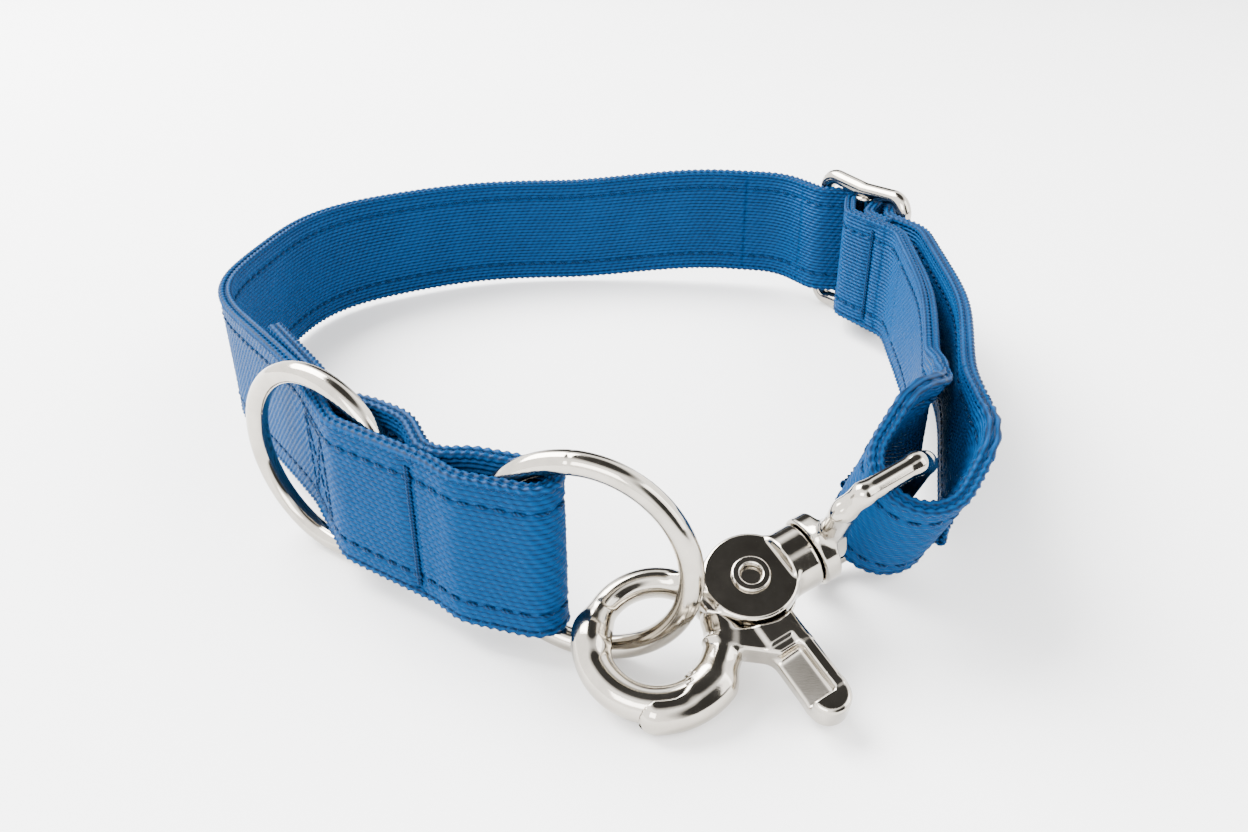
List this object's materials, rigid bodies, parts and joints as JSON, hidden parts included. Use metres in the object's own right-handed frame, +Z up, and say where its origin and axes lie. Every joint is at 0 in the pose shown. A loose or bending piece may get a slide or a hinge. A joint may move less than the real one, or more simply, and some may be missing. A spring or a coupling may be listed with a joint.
{
  "type": "dog collar",
  "caption": "Webbing pet collar with welded rings, a slide adjuster and a swivel trigger snap that clips onto the end ring to close it.",
  "frame": {"origin": "middle of the neck opening, on the surface the collar stands on", "axes": "+Z up along the neck opening's axis, -Y towards the closure, +X towards the adjuster side"},
  "size_m": [0.1457, 0.16, 0.0352],
  "materials": {
    "webbing": "woven polyester ribbed webbing, satin sheen",
    "thread": "bonded sewing thread",
    "plated_metal": "polished nickel plate",
    "spring_steel": "drawn spring wire"
  },
  "bodies": {
    "collar": {"neck_band_face": "webbing", "neck_band_lining": "webbing", "flap_face": "webbing", "flap_lining": "webbing", "channel_face": "webbing", "channel_lining": "webbing", "ring_fold_face": "webbing", "ring_fold_lining": "webbing", "slide_approach_face": "webbing", "slide_approach_lining": "webbing", "slide_exit_face": "webbing", "slide_exit_lining": "webbing", "outer_run_face": "webbing", "outer_run_lining": "webbing", "inner_run_face": "webbing", "inner_run_lining": "webbing", "slide_return_face": "webbing", "slide_return_lining": "webbing", "eye_fold_face": "webbing", "eye_fold_lining": "webbing", "outer_twist_face": "webbing", "outer_twist_lining": "webbing", "inner_twist_face": "webbing", "inner_twist_lining": "webbing", "lower_stitch_row": "thread", "upper_stitch_row": "thread", "front_seam": "thread", "cross_box_seam": "thread"},
    "adjuster": {"slide_frame": "plated_metal", "slide_bar": "plated_metal", "slide_crossing_face": "webbing", "slide_crossing_lining": "webbing", "slide_fold_face": "webbing", "slide_fold_lining": "webbing", "slide_seam": "thread"},
    "end_ring": {"end_ring": "plated_metal"},
    "leash_ring": {"leash_ring": "plated_metal"},
    "eye": {"swivel_eye": "plated_metal", "swivel_post": "plated_metal"},
    "snap": {"snap_body": "plated_metal", "pivot_rivet": "plated_metal", "gate_spring": "spring_steel"},
    "trigger": {"trigger": "plated_metal"}
  },
  "joints": [
    {"name": "leash_ring_swing", "type": "hinge", "parent": "collar", "child": "leash_ring", "pos_m": [-0.03618, -0.04894, 0.01725], "axis": [0, 0, 1], "range_deg": [0, 50], "deforming": ["channel_face", "channel_lining"]},
    {"name": "end_ring_swing", "type": "hinge", "parent": "collar", "child": "end_ring", "pos_m": [-0.00901, -0.06729, 0.01725], "axis": [0, 0, 1], "range_deg": [-3, 1.5]},
    {"name": "adjuster_slide", "type": "slide", "parent": "collar", "child": "adjuster", "axis": [0.5446, -0.8387, 0], "range_m": [-0.005, 0.005], "deforming": ["slide_approach_face", "slide_approach_lining", "slide_exit_face", "slide_exit_lining", "slide_return_face", "slide_return_lining"]},
    {"name": "eye_hinge", "type": "hinge", "parent": "collar", "child": "eye", "pos_m": [0.04939, -0.05662, 0.0176], "axis": [0.0462, -0.5413, 0.8396], "range_deg": [-2.5, 1.2]},
    {"name": "swivel", "type": "hinge", "parent": "eye", "child": "snap", "pos_m": [0.026, -0.069, 0.0109], "axis": [0.8568, 0.4536, 0.2453], "range_deg": [-10, 25]},
    {"name": "trigger_pull", "type": "hinge", "parent": "snap", "child": "trigger", "pos_m": [0.026, -0.069, 0.0109], "axis": [-0.0437, -0.4101, 0.911], "range_deg": [0, 22], "stiffness_Nm_per_rad": 0.08, "springref_deg": -14.32, "deforming": ["gate_spring"]}
  ]
}
